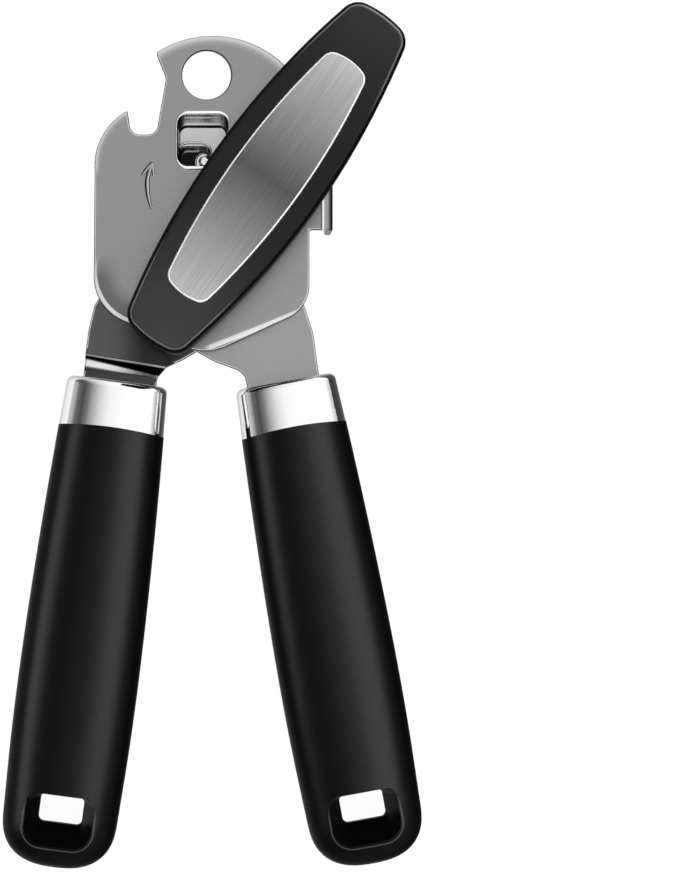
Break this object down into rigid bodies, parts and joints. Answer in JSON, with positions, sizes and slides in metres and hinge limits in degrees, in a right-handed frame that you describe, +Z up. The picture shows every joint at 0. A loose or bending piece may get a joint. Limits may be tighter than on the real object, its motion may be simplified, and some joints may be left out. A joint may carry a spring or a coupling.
{
  "type": "manual can opener",
  "caption": "Two-handled can opener with a stamped steel head, hang hole, bottle-opener notch, geared feed wheel, round cutter and long turning knob.",
  "frame": {"origin": "middle of the opener's own box, on the surface that it lies on", "axes": "+Y towards the head, along the opener's length; +Z up, from the lying surface towards the knob; +X to the right handle"},
  "size_m": [0.1054, 0.2134, 0.0317],
  "materials": {
    "steel_plate": "satin stamped steel",
    "collar_chrome": "polished",
    "black_grip": "matte black soft-touch",
    "black_knob": "satin black",
    "core_plastic": "plain",
    "inlay_steel": "brushed along its length",
    "turned_steel": "turned",
    "hard_steel": "ground"
  },
  "bodies": {
    "front": {"front_plate": "steel_plate", "left_tang": "steel_plate", "left_grip": "black_grip", "left_grip_core": "core_plastic", "left_ferrule": "collar_chrome", "left_tang_pin": "turned_steel", "cutter_stud": "turned_steel", "cutter_spacer": "turned_steel", "cutter_washer": "turned_steel"},
    "lever": {"rear_plate": "steel_plate", "right_grip": "black_grip", "right_grip_core": "core_plastic", "right_ferrule": "collar_chrome", "right_tang_pin": "turned_steel", "eccentric_bushing": "turned_steel", "spacer_washer": "turned_steel", "retaining_washer": "turned_steel"},
    "crank": {"knob_body": "black_knob", "knob_inlay": "inlay_steel", "knob_insert": "turned_steel", "knob_screw": "turned_steel", "spring_washer": "turned_steel", "drive_shaft": "turned_steel", "feed_washer": "turned_steel", "feed_wheel": "hard_steel"},
    "cutter": {"cutter_wheel": "hard_steel"}
  },
  "joints": [
    {"name": "lever_hinge", "type": "hinge", "parent": "front", "child": "lever", "pos_m": [0.01478, 0.06789, 0.01243], "axis": [0, 0, 1], "range_deg": [-15, 35]},
    {"name": "crank_spin", "type": "hinge", "parent": "lever", "child": "crank", "pos_m": [0.01309, 0.06427, 0.01323], "axis": [0, 0, 1], "continuous": true},
    {"name": "cutter_spin", "type": "hinge", "parent": "front", "child": "cutter", "pos_m": [-0.00191, 0.07127, 0.00423], "axis": [0, 0, 1], "continuous": true}
  ]
}
